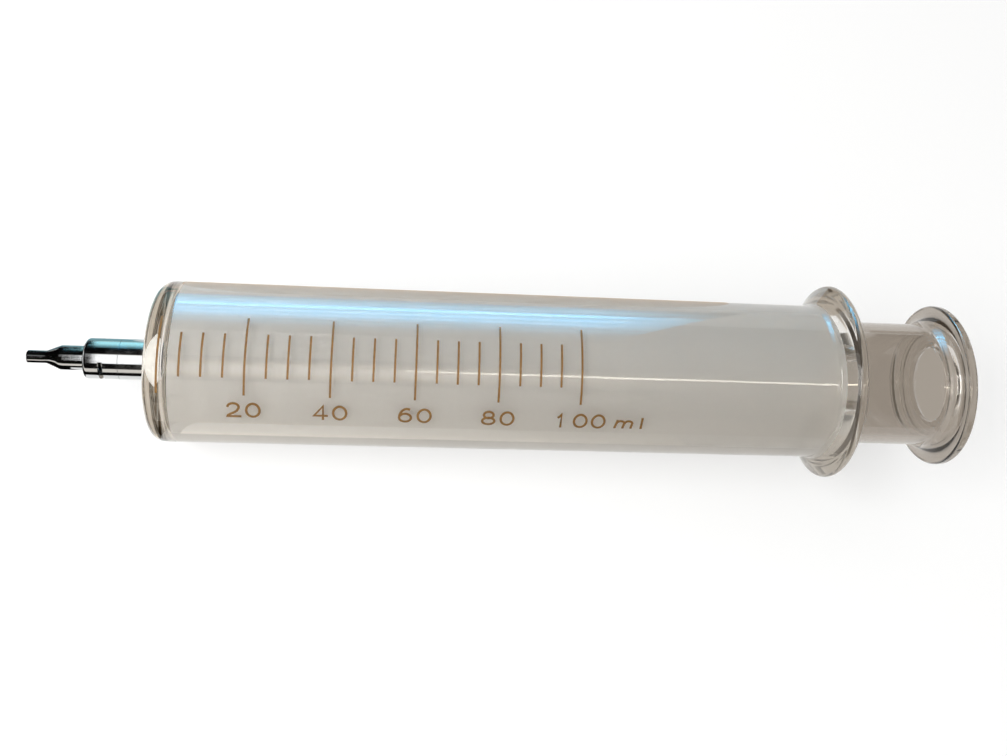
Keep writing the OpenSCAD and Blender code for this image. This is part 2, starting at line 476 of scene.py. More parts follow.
def finish_mesh(name: str, bm: Mesh, sharp: float = 32.0) -> Piece:
    """Turns a built mesh into a smooth-shaded object at the origin.

    Args:
        name: the new object's name.
        bm: the mesh as built, which is used up.
        sharp: angle between faces, in degrees, past which an edge stays crisp.

    Returns:
        The new object.
    """
    bmesh.ops.recalc_face_normals(bm, faces=bm.faces)
    for face in bm.faces:
        face.smooth = True
    mesh = bpy.data.meshes.new(name)
    bm.to_mesh(mesh)
    bm.free()
    mesh.set_sharp_from_angle(angle=math.radians(sharp))
    made = bpy.data.objects.new(name, mesh)
    bpy.context.scene.collection.objects.link(made)
    return made


def revolved(
    outline: Outline,
    steps: int,
    reshape: Callable[[float, float, float], Point] | None = None,
    gap: Callable[[float, float], bool] | None = None,
) -> Mesh:
    """Revolves an outline about the syringe's axis.

    Args:
        outline: the half section. It starts and ends on the axis, or it closes on itself.
        steps: number of faces round the piece.
        reshape: gives a changed station and radius for a station, a radius and an angle.
        gap: says for a face's middle station and angle whether it is left open.

    Returns:
        The mesh.
    """
    points = outline.points
    if points[0][:2] == points[-1][:2]:
        points = points[:-1]
    bm = bmesh.new()
    rings = []
    for x, r, _ in points:
        if r < ON_AXIS:
            rings.append([bm.verts.new(place(x, 0, 0))])
            continue
        angles = [360 * k / steps for k in range(steps)]
        spots = [(*(reshape(x, r, a) if reshape else (x, r)), a) for a in angles]
        rings.append([bm.verts.new(place(*spot)) for spot in spots])
    closes = points[0][1] > ON_AXIS
    for i in range(1, len(rings) + closes):
        n = i % len(rings)
        a, b = rings[i - 1], rings[n]
        middle = (points[i - 1][0] + points[n][0]) / 2
        for k in range(steps):
            if gap and gap(middle, 360 * (k + 0.5) / steps):
                continue
            corners = [a[k % len(a)], a[(k + 1) % len(a)], b[(k + 1) % len(b)], b[k % len(b)]]
            bm.faces.new(list(dict.fromkeys(corners))).material_index = points[n][2]
    return bm


def stage_mesh(name: str, bm: Mesh, look: Finish, unseen: Iterable[str] = ()) -> None:
    """Adds a surface of the studio, which isn't part of the syringe.

    Args:
        name: the new object's name.
        bm: the mesh as built, which is used up.
        look: its finish.
        unseen: the kinds of ray that it doesn't show to.
    """
    made = finish_mesh(name, bm)
    made.data.materials.append(look.make())
    for ray in unseen:
        setattr(made, "visible_" + ray, False)


class Body(Enum):
    """The two bodies that the slide joins."""

    BARREL = "barrel_body"
    PLUNGER = "plunger_body"


def settle(piece: Piece, finishes: Iterable[Finish], body: Body, slot: str, *nodes: str) -> None:
    """Dresses a piece and seats it in the model.

    Args:
        piece: the finished object.
        finishes: its finishes, in the order of its face numbers.
        body: the body that it moves with.
        slot: the record's material slot; not used.
        nodes: the CAD nodes that it stands for.
    """
    if not piece.data.materials:
        for finish in finishes:
            piece.data.materials.append(finish.make())
    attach(piece, body.value)
    if nodes:
        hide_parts(*nodes)
    log.info("%s: %d faces, rides on %s", piece.name, len(piece.data.polygons), body.value)


@dataclass
class GlassBarrel:
    """Blown tube with a closed front, a neck for the tip and a rolled finger flange. Sizes in millimetres."""

    face_x: float = 31.5
    zero_x: float = 35.5
    radius: float = 20.0
    bore: float = 17.85
    edge: float = 3.6
    corner: float = 1.5
    neck_x: float = 23.7
    neck: float = 3.9
    outlet: float = 1.2
    # Hollow in front of the flange, its front slope, its rounded crest and its back slope
    fillet_mid: Point = (198.980, 22.0)
    fillet_end: Point = (200.685, 20.955)
    slope_end: Point = (203.092, 24.880)
    crest_mid: Point = (204.2, 24.2)
    crest_end: Point = (205.361, 24.785)
    lip: Point = (208.2, 19.15)
    bevel: float = 0.8
    ground_from: float = 37.5
    ground_to: float = 204.0
    # How far the flange leans and stands off centre, how uneven hand work left the tube and the flange's
    # rim, how high over the tube the rim's share is full, and how near the bore nothing is uneven
    lean: float = 0.6
    off_centre: float = 0.15
    tube_uneven: float = 0.02
    rim_uneven: float = 0.1
    rim_height: float = 4.0
    true_wall: float = 0.5
    clear: Finish = DrawnGlass("drawn_glass")
    ground: Finish = GroundGlass("ground_bore_glass", tint="#FEFDFB")
    # Painted shade: the mouth's narrow bevel is tinted dark, so that it shows as the dark line of the shaded
    # gap at the mouth
    shaded_mouth: Finish = DrawnGlass("shaded_mouth_glass", tint="#54504A")

    def outline(self) -> Outline:
        """Walks from the neck over the outside to the bore and back.

        Returns:
            The half section.
        """
        edge_x, edge_r = self.face_x + self.edge, self.radius - self.edge
        corner_x, corner_r = self.zero_x + self.corner, self.bore - self.corner
        return (
            Outline((self.neck_x, self.outlet))
            .to((self.neck_x, self.neck), (self.face_x, self.neck), (self.face_x, edge_r))
            .round((edge_x, edge_r), (edge_x, self.radius), -1)
            .to((self.fillet_mid[0], self.radius))
            .round(self.fillet_mid, self.fillet_end, 1)
            .to(self.slope_end)
            .round(self.crest_mid, self.crest_end, -1)
            .to(self.lip, (self.lip[0], self.bore + self.bevel))
            .to((self.lip[0] - self.bevel, self.bore), finish=2)
            .to((self.ground_to, self.bore))
            .to((self.ground_from, self.bore), finish=1)
            .to((corner_x, self.bore))
            .round((corner_x, corner_r), (self.zero_x, corner_r), 1)
            .to((self.zero_x, self.outlet))
            .closed()
        )

    def hand_worked(self, x: float, r: float, angle: float) -> Point:
        """Makes the tube slightly uneven, and the rolled flange more, which leans a little.

        Args:
            x: station of a point.
            r: its radius.
            angle: its angle below the scale's middle.

        Returns:
            The changed station and radius.
        """
        if r < self.bore + self.true_wall or x < self.face_x:
            return x, r
        out = radial(angle)
        down = out.dot(toward_camera(-90))
        share = min(1.0, max(0.0, (r - self.radius) / self.rim_height)) if x > self.fillet_mid[0] else 0.0
        slow = self.tube_uneven * (1 + wave(x, out, 40, 1.3, (7, 0)))
        rim = self.off_centre * (1 + down) + self.rim_uneven * (1 + wave(x, out, 9, 2.1, (0, 3)))
        return x - self.lean * share * down, r - slow - share * rim

    def build(self) -> None:
        """Builds the barrel: clear outside, ground in the bore, and tinted dark at the mouth as painted
        shade.
        """
        piece = finish_mesh("glass_barrel", revolved(self.outline(), 256, self.hand_worked))
        settle(piece, (self.clear, self.ground, self.shaded_mouth), Body.BARREL, "barrel", "barrel")


@dataclass
class GlassPlunger:
    """Hollow plunger: a ground piston, a clear stem and a thumb flange with a hole. Sizes in millimetres."""

    front_x: float = 35.8
    radius: float = 17.8
    edge: float = 2.2
    shoulder_x: float = 193.8
    shoulder: float = 4.0
    shoulder_foot: Point = (197.073, 16.1)
    stem: float = 16.1
    thumb_fillet: float = 4.3
    thumb: float = 21.2
    rim_x: float = 233.4
    end_x: float = 235.8
    front_edge: float = 0.7
    back_edge: float = 0.8
    hole: float = 10.0
    hole_bevel: float = 1.5
    hollow_end_x: float = 233.2
    hollow: float = 13.9
    hollow_front_x: float = 38.8
    hollow_corner: float = 2.0
    # How uneven hand work left the stem, and what the thumb flange's rim has more at its full height
    stem_uneven: float = 0.03
    rim_uneven: float = 0.08
    rim_height: float = 4.0
    true_wall: float = 0.5
    ground: Finish = GroundGlass("ground_piston_glass", tint="#FEFDFB")
    # Painted shade: the stem's glass is tinted darker than the rest of the plunger, for the darker room that
    # it shows
    shaded_stem: Finish = DrawnGlass("shaded_stem_tint", tint="#EAE7E4")
    hollow_glass: Finish = DrawnGlass("clear_hollow_glass")

    def outline(self) -> Outline:
        """Walks from the closed front over the outside and back through the hollow.

        Returns:
            The half section.
        """
        edge_x, edge_r = self.front_x + self.edge, self.radius - self.edge
        foot = (self.rim_x - self.thumb_fillet, self.stem + self.thumb_fillet)
        front_mid = (self.rim_x + self.front_edge, self.thumb - self.front_edge)
        back_mid = (self.end_x - self.back_edge, self.thumb - self.back_edge)
        back, front = self.hollow_end_x - self.hollow_corner, self.hollow_front_x + self.hollow_corner
        inner = self.hollow - self.hollow_corner
        return (
            Outline((self.front_x, 0.0))
            .to((self.front_x, edge_r), finish=2)
            .round((edge_x, edge_r), (edge_x, self.radius), -1, 2)
            .to((self.shoulder_x, self.radius), finish=1)
            .round((self.shoulder_x, self.radius - self.shoulder), self.shoulder_foot, -1, 1)
            .to((foot[0], self.stem))
            .round(foot, (self.rim_x, foot[1]), 1)
            .to((self.rim_x, front_mid[1]))
            .round(front_mid, (front_mid[0], self.thumb), -1)
            .to((back_mid[0], self.thumb))
            .round(back_mid, (self.end_x, back_mid[1]), -1)
            .to((self.end_x, self.hole + self.hole_bevel), (self.end_x - self.hole_bevel, self.hole))
            .to((self.hollow_end_x, self.hole), (self.hollow_end_x, inner))
            .round((back, inner), (back, self.hollow), 1)
            .to((self.shoulder_x, self.hollow))
            .to((front, self.hollow), finish=2)
            .round((front, inner), (self.hollow_front_x, inner), 1, 2)
            .to((self.hollow_front_x, 0.0), finish=2)
        )

    def hand_worked(self, x: float, r: float, angle: float) -> Point:
        """Makes the hand-shaped stem and thumb flange uneven, never outwards.

        Args:
            x: station of a point.
            r: its radius.
            angle: its angle below the scale's middle.

        Returns:
            The same station and the changed radius.
        """
        if x < self.shoulder_foot[0] or r < self.hollow + self.true_wall:
            return x, r
        share = min(1.0, max(0.0, (r - self.stem) / self.rim_height))
        slow = 1 + wave(x, radial(angle), 14, 1.8, (4, 0))
        return x, r - (self.stem_uneven + self.rim_uneven * share) * slow

    def build(self) -> None:
        """Builds the plunger, ground on the piston and clear elsewhere."""
        piece = finish_mesh("glass_plunger", revolved(self.outline(), 240, self.hand_worked))
        finishes = (self.shaded_stem, self.ground, self.hollow_glass)
        settle(piece, finishes, Body.PLUNGER, "plunger", "plunger")


@dataclass
class MetalTip:
    """Nozzle, slotted collar and ferrule in plated metal, and the cement behind them.

    Sizes in millimetres, and angles in degrees.
    """

    tube: float = 1.55
    tube_bevel: float = 0.2
    tube_len: float = 4.7
    shank_x: float = 8.2
    shank: float = 3.05
    base_x: float = 21.1
    base: float = 4.1
    bore: float = 0.75
    collar_x: float = 14.2
    seam_x: float = 22.7
    seam: float = 0.12
    sleeve: float = 5.05
    collar_edge: float = 1.0
    collar_front: float = 1.4
    collar_bore: float = 4.2
    collar_hole: float = 3.1
    slot_x: float = 18.6
    slot_w: float = 1.2
    slot_start: float = 16.0
    slot_arc: float = 88.0
    socket_x: float = 23.7
    socket: float = 4.2
    outlet: float = 1.2
    ferrule_end_x: float = 30.7
    face_x: float = 31.5
    neck: float = 3.9
    ring: float = 5.25
    soft_edge: float = 0.1
    dents: float = 0.15
    # White cone inside the glass front, a painted highlight for the glare on the front's rounded shoulder:
    # radius of its foot, and station of its point
    cone_foot: float = 5.0
    cone_x: float = 35.4
    plating: Finish = BrightPlating("bright_plating")
    cement: Finish = NeckCement("grey_neck_cement")
    # Painted highlight: the white cone also glows a little
    highlight_cement: Finish = NeckCement("seat_highlight_cement", light="#F9F8F4", dark="#EFEDE8", lift=0.8)

    def nozzle(self) -> Piece:
        """Builds the stepped tube with its bore.

        Returns:
            The new object.
        """
        outline = (
            Outline((0.0, self.bore), 1.0)
            .to((0.0, self.tube - self.tube_bevel), (self.tube_bevel, self.tube), (self.tube_len, self.tube))
            .to((self.shank_x, self.shank), (self.base_x, self.shank), (self.base_x, self.base))
            .to((self.seam_x, self.base), (self.seam_x, self.bore))
            .closed()
        )
        return finish_mesh("tip_nozzle", revolved(outline, 96))

    def collar(self) -> Piece:
        """Builds the front ring, with two opposed cross slots through its wall.

        Returns:
            The new object.
        """
        x0, x1 = self.slot_x - self.slot_w / 2, self.slot_x + self.slot_w / 2
        inner_x = self.collar_x + self.collar_front
        edge_x, edge_r = self.collar_x + self.collar_edge, self.sleeve - self.collar_edge
        outline = (
            Outline((self.collar_x, self.collar_hole), 20.0)
            .to((self.collar_x, edge_r))
            .round((edge_x, edge_r), (edge_x, self.sleeve), -1)
            .to(*((x, self.sleeve) for x in (x0, x1, self.seam_x)))
            .to(*((x, self.collar_bore) for x in (self.seam_x, x1, x0, inner_x)))
            .to((inner_x, self.collar_hole))
            .closed()
        )

        def in_slot(x: float, angle: float) -> bool:
            """Whether a place on the ring is open."""
            return x0 < x < x1 and (angle - self.slot_start) % 180 < self.slot_arc

        bm = revolved(outline, 180, gap=in_slot)
        self.line_slots(bm)
        return finish_mesh("tip_collar_ring", bm)

    def line_slots(self, bm: Mesh) -> None:
        """Closes the walls of the slots, from the outer opening's edge to the inner one's.

        Args:
            bm: the ring with its openings.
        """

        def spot(v: bmesh.types.BMVert) -> Point:
            """Station and angle of a corner, rounded so that outer and inner ones are the same."""
            return round(v.co.x / MM, 3), round(math.degrees(math.atan2(v.co.z, v.co.y)), 2) % 360

        middle = (self.sleeve + self.collar_bore) / 2 * MM
        open_edges = [e for e in bm.edges if e.is_boundary]
        outer = [e for e in open_edges if all(v.co.yz.length > middle for v in e.verts)]
        inner = {spot(v): v for e in open_edges if e not in outer for v in e.verts}
        for edge in outer:
            a, b = edge.verts
            bm.faces.new((a, b, inner[spot(b)], inner[spot(a)]))

    def ferrule(self) -> Piece:
        """Builds the rear sleeve over the glass neck, with the fine groove of the seam at its front.

        Returns:
            The new object.
        """
        end_x = self.ferrule_end_x
        outline = (
            Outline((self.seam_x, self.outlet), 1.5)
            .to((self.seam_x, self.sleeve - self.seam), (self.seam_x + self.seam, self.sleeve))
            .to((end_x - self.soft_edge, self.sleeve), (end_x, self.sleeve - self.soft_edge))
            .to((end_x, self.socket), (self.socket_x, self.socket), (self.socket_x, self.outlet))
            .closed()
        )
        return finish_mesh("tip_ferrule", revolved(outline, 144))

    def uneven(self, x: float, r: float, angle: float) -> Point:
        """Dents the ring of cement that shows, and leaves the rest."""
        dent = self.dents / 2 * (1 + wave(x, radial(angle), 1, 3)) if r > self.socket else 0.0
        return x, r - dent

    def cement_ring(self) -> Piece:
        """Builds the cement round the neck, which ends in a slightly rough ring on the glass.

        Returns:
            The new object.
        """
        end_x, edge = self.ferrule_end_x, self.soft_edge
        outline = (
            Outline((self.socket_x, self.neck), 0.5)
            .to((self.socket_x, self.socket), (end_x, self.socket))
            .to((end_x, self.ring - 1.5 * edge), (end_x + 2 * edge, self.ring))
            .to((self.face_x - edge, self.ring), (self.face_x, self.ring - edge), (self.face_x, self.neck))
            .closed()
        )
        return finish_mesh("neck_cement_ring", revolved(outline, 144, self.uneven))

    def seat_cone(self) -> Piece:
        """Builds a white cement cone in the glass front, round the outlet, as a painted highlight for the
        glare on the front's rounded shoulder.

        Returns:
            The new object.
        """
        foot, hole = self.face_x + self.soft_edge, self.outlet + self.soft_edge
        slope = ((foot, self.cone_foot), (self.cone_x, hole + self.soft_edge), (self.cone_x, hole))
        return finish_mesh("seat_highlight_cone", revolved(Outline((foot, hole), 1.0).to(*slope).closed(), 96))

    def build(self) -> None:
        """Builds and dresses the five pieces of the tip."""
        settle(self.nozzle(), (self.plating,), Body.BARREL, "nozzle", "nozzle")
        settle(self.collar(), (self.plating,), Body.BARREL, "tip_collar", "tip_collar")
        settle(self.ferrule(), (self.plating,), Body.BARREL, "ferrule", "ferrule")
        settle(self.cement_ring(), (self.cement,), Body.BARREL, "neck_cement", "neck_cement")
        settle(self.seat_cone(), (self.highlight_cement,), Body.BARREL, "neck_cement")


class Line(Enum):
    """The two lengths of scale line, as the arc that each covers in degrees."""

    LONG = 54.0
    SHORT = 30.0


@dataclass
class VolumeScale:
    """Fired lines and numbers on the barrel. Sizes in millimetres, unless said otherwise."""

    zero_x: float = 35.5
    pitch: float = 4.995
    count: int = 21
    long_every: int = 4
    line_w: float = 0.5
    line_t: float = 0.1
    # How far each line may stand turned, in degrees
    line_uneven: float = 0.15
    seed: int = 5
    radius: float = 20.0
    # How deep lines and strokes are sunk in the glass, so that no gap shows where it is uneven
    sunk: float = 0.03
    stroke: float = 0.58
    stroke_t: float = 0.07
    digit_w: float = 3.65
    digit_h: float = 4.3
    one_w: float = 1.9
    # Middle of the numbers, in degrees below the middle of the scale at the bore's front, and how it drifts
    number_angle: float = 38.0
    number_drift: float = 0.021
    enamel: Finish = FiredEnamel("fired_brown_enamel")

    def line_tree(self) -> Tree:
        """Builds the tree that bends one bar round the barrel and repeats it along the scale.

        Returns:
            The tree.
        """
        tree = bpy.data.node_groups.new("scale_lines", "GeometryNodeTree")
        tree.interface.new_socket("Geometry", in_out="OUTPUT", socket_type="NodeSocketGeometry")
        sizes = ("First station", "Pitch", "Width", "Height", "Radius", "Arc", "Turn", "Unevenness")
        inputs = {"Int": ("Count", "Long every", "Seed"), "Bool": ("Long ones",), "Float": sizes}
        for kind, names in {**inputs, "Material": ("Material",)}.items():
            for name in names:
                tree.interface.new_socket(name, in_out="INPUT", socket_type="NodeSocket" + kind)
        given = add_node(tree, "NodeGroupInput")
        size = add_node(tree, "ShaderNodeCombineXYZ", {"X": given["Width"], "Y": 1.0, "Z": given["Height"]})
        parts = {"Size": size[0], "Vertices X": 3, "Vertices Y": 25, "Vertices Z": 2}
        bar = add_node(tree, "GeometryNodeMeshCube", parts)["Mesh"]
        spot = add_node(tree, "GeometryNodeInputPosition")[0]
        at = add_node(tree, "ShaderNodeSeparateXYZ", {0: spot})
        known = {socket.name: socket for socket in (*given, *at)}
        known["Index"] = add_node(tree, "GeometryNodeInputIndex")[0]
        # Y from -0.5 to 0.5 becomes the angle round the barrel, and Z the height over the glass
        sums = {
            "Swing": ("MULTIPLY", "Y", "Arc"),
            "Angle": ("SUBTRACT", "Turn", "Swing"),
            "Half height": ("DIVIDE", "Height", 2.0),
            "Over glass": ("ADD", "Z", "Half height"),
            "Reach": ("ADD", "Radius", "Over glass"),
            "Cosine": ("COSINE", "Angle", 0.0),
            "Sine": ("SINE", "Angle", 0.0),
            "Nearness": ("MULTIPLY", "Cosine", "Reach"),
            "Side": ("MULTIPLY", "Nearness", -1.0),
            "Rise": ("MULTIPLY", "Sine", "Reach"),
            "Rest": ("MODULO", "Index", "Long every"),
            "Is long": ("COMPARE", "Rest", 0.0),
            "Least turn": ("MULTIPLY", "Unevenness", -1.0),
        }
        for name, (operation, *terms) in sums.items():
            feeds = {i: known.get(term, term) for i, term in enumerate(terms)}
            known[name] = add_node(tree, "ShaderNodeMath", feeds, operation=operation)[0]
        spots = {"X": known["X"], "Y": known["Side"], "Z": known["Rise"]}
        bend = add_node(tree, "ShaderNodeCombineXYZ", spots)
        bent = add_node(tree, "GeometryNodeSetPosition", {"Geometry": bar, "Position": bend[0]})
        # The bend turns the bar inside out, so its faces are flipped back
        outer = add_node(tree, "GeometryNodeFlipFaces", {"Mesh": bent["Geometry"]})
        start = add_node(tree, "ShaderNodeCombineXYZ", {"X": given["First station"]})[0]
        step = add_node(tree, "ShaderNodeCombineXYZ", {"X": given["Pitch"]})[0]
        row = {"Count": given["Count"], "Start Location": start, "Offset": step}
        stations = add_node(tree, "GeometryNodeMeshLine", row)["Mesh"]
        both = {0: known["Is long"], 1: given["Long ones"]}
        wanted = add_node(tree, "FunctionNodeBooleanMath", both, operation="XNOR")[0]
        turns = {"Min": known["Least turn"], "Max": given["Unevenness"], "Seed": given["Seed"]}
        tilt = add_node(tree, "FunctionNodeRandomValue", turns, data_type="FLOAT")[1]
        turned = add_node(tree, "ShaderNodeCombineXYZ", {"X": tilt})[0]
        copies = {"Points": stations, "Selection": wanted, "Instance": outer["Mesh"], "Rotation": turned}
        lines = add_node(tree, "GeometryNodeInstanceOnPoints", copies)["Instances"]
        real = add_node(tree, "GeometryNodeRealizeInstances", {"Geometry": lines})["Geometry"]
        ink = {"Geometry": real, "Material": given["Material"]}
        inked = add_node(tree, "GeometryNodeSetMaterial", ink)["Geometry"]
        add_node(tree, "NodeGroupOutput", {0: inked})
        return tree

    def lines(self, name: str, kind: Line, tree: Tree) -> Piece:
        """Runs the tree for one length of line and keeps the result as a plain mesh.

        Args:
            name: the new object's name.
            kind: which length of line.
            tree: the tree of line_tree.

        Returns:
            The new object.
        """
        holder = bpy.data.objects.new(name, bpy.data.meshes.new(name + "_start"))
        bpy.context.scene.collection.objects.link(holder)
        modifier = holder.modifiers.new("lines", "NODES")
        modifier.node_group = tree
        lengths = {"First station": self.zero_x, "Pitch": self.pitch, "Width": self.line_w}
        lengths |= {"Height": self.line_t, "Radius": self.radius - self.sunk}
        angles = {"Arc": kind.value, "Turn": SCALE_TURN, "Unevenness": self.line_uneven}
        values = {name: length * MM for name, length in lengths.items()}
        values |= {name: math.radians(angle) for name, angle in angles.items()}
        values |= {"Count": self.count, "Long every": self.long_every, "Long ones": kind is Line.LONG}
        values |= {"Seed": self.seed, "Material": self.enamel.make()}
        for item in tree.interface.items_tree:
            if item.in_out == "INPUT":
                modifier[item.identifier] = values[item.name]
        ready = holder.evaluated_get(bpy.context.evaluated_depsgraph_get())
        plain = bpy.data.meshes.new_from_object(ready)
        holder.modifiers.remove(modifier)
        holder.data = plain
        plain.name = name
        return holder

    @staticmethod
    def bow(mid: Point, size: Point, start: float, end: float, parts: int) -> list[Point]:
        """Points along an ellipse between two angles in degrees, of which 0 is to the right and 90 down."""
        turns = [math.radians(start + (end - start) * i / parts) for i in range(parts + 1)]
        return [(mid[0] + size[0] * math.cos(a), mid[1] + size[1] * math.sin(a)) for a in turns]

    def strokes(self, sign: str) -> list[list[Point]]:
        """Draws one sign in a box that is 1 wide and 1 high, with its top left corner at 0, 0.

        Args:
            sign: a digit, or a letter of the unit.

        Returns:
            The lines of its strokes.
        """
        bow = self.bow
        foot_of_two = [(0.74, 0.56), (0.5, 0.7), (0.22, 0.82), (0.06, 0.92), (0.03, 1.0), (0.97, 1.0)]
        signs = {
            "0": [bow((0.5, 0.5), (0.5, 0.5), 0, 360, 40)],
            "1": [[(0.04, 0.24), (0.3, 0.16), (0.56, 0.0), (0.56, 1.0)]],
            "2": [bow((0.47, 0.28), (0.42, 0.28), -165, 30, 16) + foot_of_two],
            "4": [[(0.72, 1.0), (0.72, 0.0), (0.03, 0.74), (1.0, 0.74)]],
            "6": [bow((0.5, 0.68), (0.46, 0.32), 0, 360, 32), bow((0.62, 0.68), (0.58, 0.68), 183, 285, 14)],
            "8": [bow((0.5, 0.25), (0.38, 0.25), 0, 360, 28), bow((0.5, 0.73), (0.48, 0.27), 0, 360, 32)],
            "m": [
                [(0.1, 0.0), (0.0, 1.0)],
                bow((0.3, 0.36), (0.22, 0.34), 190, 350, 12) + [(0.46, 1.0)],
                bow((0.76, 0.36), (0.22, 0.34), 190, 350, 12) + [(0.93, 1.0)],
            ],
            "l": [[(0.32, 0.0), (0.0, 1.0)]],
        }
        return signs[sign]

    def ribbon(self, bm: Mesh, line: Sequence[Point]) -> None:
        """Lays one stroke on the barrel as a low closed ridge.

        Args:
            bm: the mesh that gets it.
            line: points along the stroke, as stations and lengths round the barrel from the scale's middle.
        """
        closed = math.dist(line[0], line[-1]) < ON_AXIS
        points = list(line[:-1]) if closed else list(line)
        count = len(points)
        # Section of the ridge: side of each corner, and its height over the glass
        half, high, shoulder = self.stroke / 2, self.stroke_t, self.stroke_t * 0.6
        section = ((1, -self.sunk), (1, shoulder), (0, high), (-1, shoulder), (-1, -self.sunk))
        sections = []
        for i, (u, v) in enumerate(points):
            before = points[i - 1] if i or closed else points[i]
            after = points[(i + 1) % count] if i + 1 < count or closed else points[i]
            into = Vector((u - before[0], v - before[1]))
            out = Vector((after[0] - u, after[1] - v))
            along = (into.normalized() + out.normalized()).normalized()
            bend = along.dot(out.normalized() if out.length else into.normalized())
            # A sharp bend is widened only so far, and the two ends reach on by half a width
            side = Vector((-along.y, along.x)) * (half / max(0.55, bend))
            reach = along * (half if not out.length else -half if not into.length else 0.0)
            ring = []
            for s, r in section:
                x, y = u + side.x * s + reach.x, v + side.y * s + reach.y
                ring.append(bm.verts.new(place(x, self.radius + r, math.degrees(y / self.radius))))
            sections.append(ring)
        for i in range(count if closed else count - 1):
            a, b = sections[i], sections[(i + 1) % count]
            for k in range(len(section)):
                n = (k + 1) % len(section)
                bm.faces.new((a[k], a[n], b[n], b[k]))
        if not closed:
            bm.faces.new(sections[0])
            bm.faces.new(sections[-1][::-1])

    def numbers(self) -> Piece:
        """Builds the numbers at each fifth of the scale, and the unit behind the last one.

        Returns:
            The new object.
        """
        stations = {"20": (53.1, 57.55), "40": (73.2, 77.8), "60": (93.3, 97.85)}
        stations |= {"80": (113.35, 117.85), "100": (131.0, 135.8, 140.25)}
        # Each sign, its middle's station, its box's size and how far its box stands below the others
        row = [
            (sign, x, self.one_w if sign == "1" else self.digit_w, self.digit_h, 0.0)
            for number, middles in stations.items()
            for sign, x in zip(number, middles)
        ]
        row += [("m", 146.7, 4.9, 2.6, 0.55), ("l", 151.15, 0.75, 3.4, 0.15)]
        bm = bmesh.new()
        for sign, x, width, height, low in row:
            angle = self.number_angle + self.number_drift * (x - self.zero_x)
            middle = math.radians(angle) * self.radius + low
            wide, high = width - self.stroke, height - self.stroke
            for line in self.strokes(sign):
                self.ribbon(bm, [(x + (u - 0.5) * wide, middle + (v - 0.5) * high) for u, v in line])
        return finish_mesh("scale_numbers", bm)

    def build(self) -> None:
        """Builds and dresses the lines and the numbers."""
        tree = self.line_tree()
        for kind, node in ((Line.LONG, "long_lines"), (Line.SHORT, "short_lines")):
            settle(self.lines("scale_" + node, kind, tree), (self.enamel,), Body.BARREL, "scale", node)
        settle(self.numbers(), (self.enamel,), Body.BARREL, "scale")


@dataclass(frozen=True)
class Panel:
    """Bent panel that only mirrors and glass see. Lengths in metres, and angles above the way to the camera.

    Its ends are the first and last station at its lower edge, and at its upper edge where these differ.
    It may also be seen through glass, and not only in reflections.
    """

    name: str
    low: float
    high: float
    far: float
    look: Glow
    ends: tuple[Point, ...]
    through: bool = False
    bends: int = 8

    def build(self, clear: float) -> None:
        """Builds the panel, just over the board where that is in its way.

        Args:
            clear: how far under the syringe's axis it may reach.
        """
        bm = bmesh.new()
        rows = []
        for i in range(self.bends + 1):
            share = i / self.bends
            out = toward_camera(self.low + (self.high - self.low) * share)
            out *= min(self.far, clear / -out.z) if out.z < 0 else self.far
            pair = [a + (b - a) * share for a, b in zip(self.ends[0], self.ends[-1])]
            rows.append([bm.verts.new(X_AXIS * x + out) for x in pair])
        for a, b in zip(rows, rows[1:]):
            bm.faces.new((a[0], a[1], b[1], b[0]))
        unseen = UNLIT if self.through else (*UNLIT, "transmission")
        stage_mesh(self.name, bm, self.look, unseen)


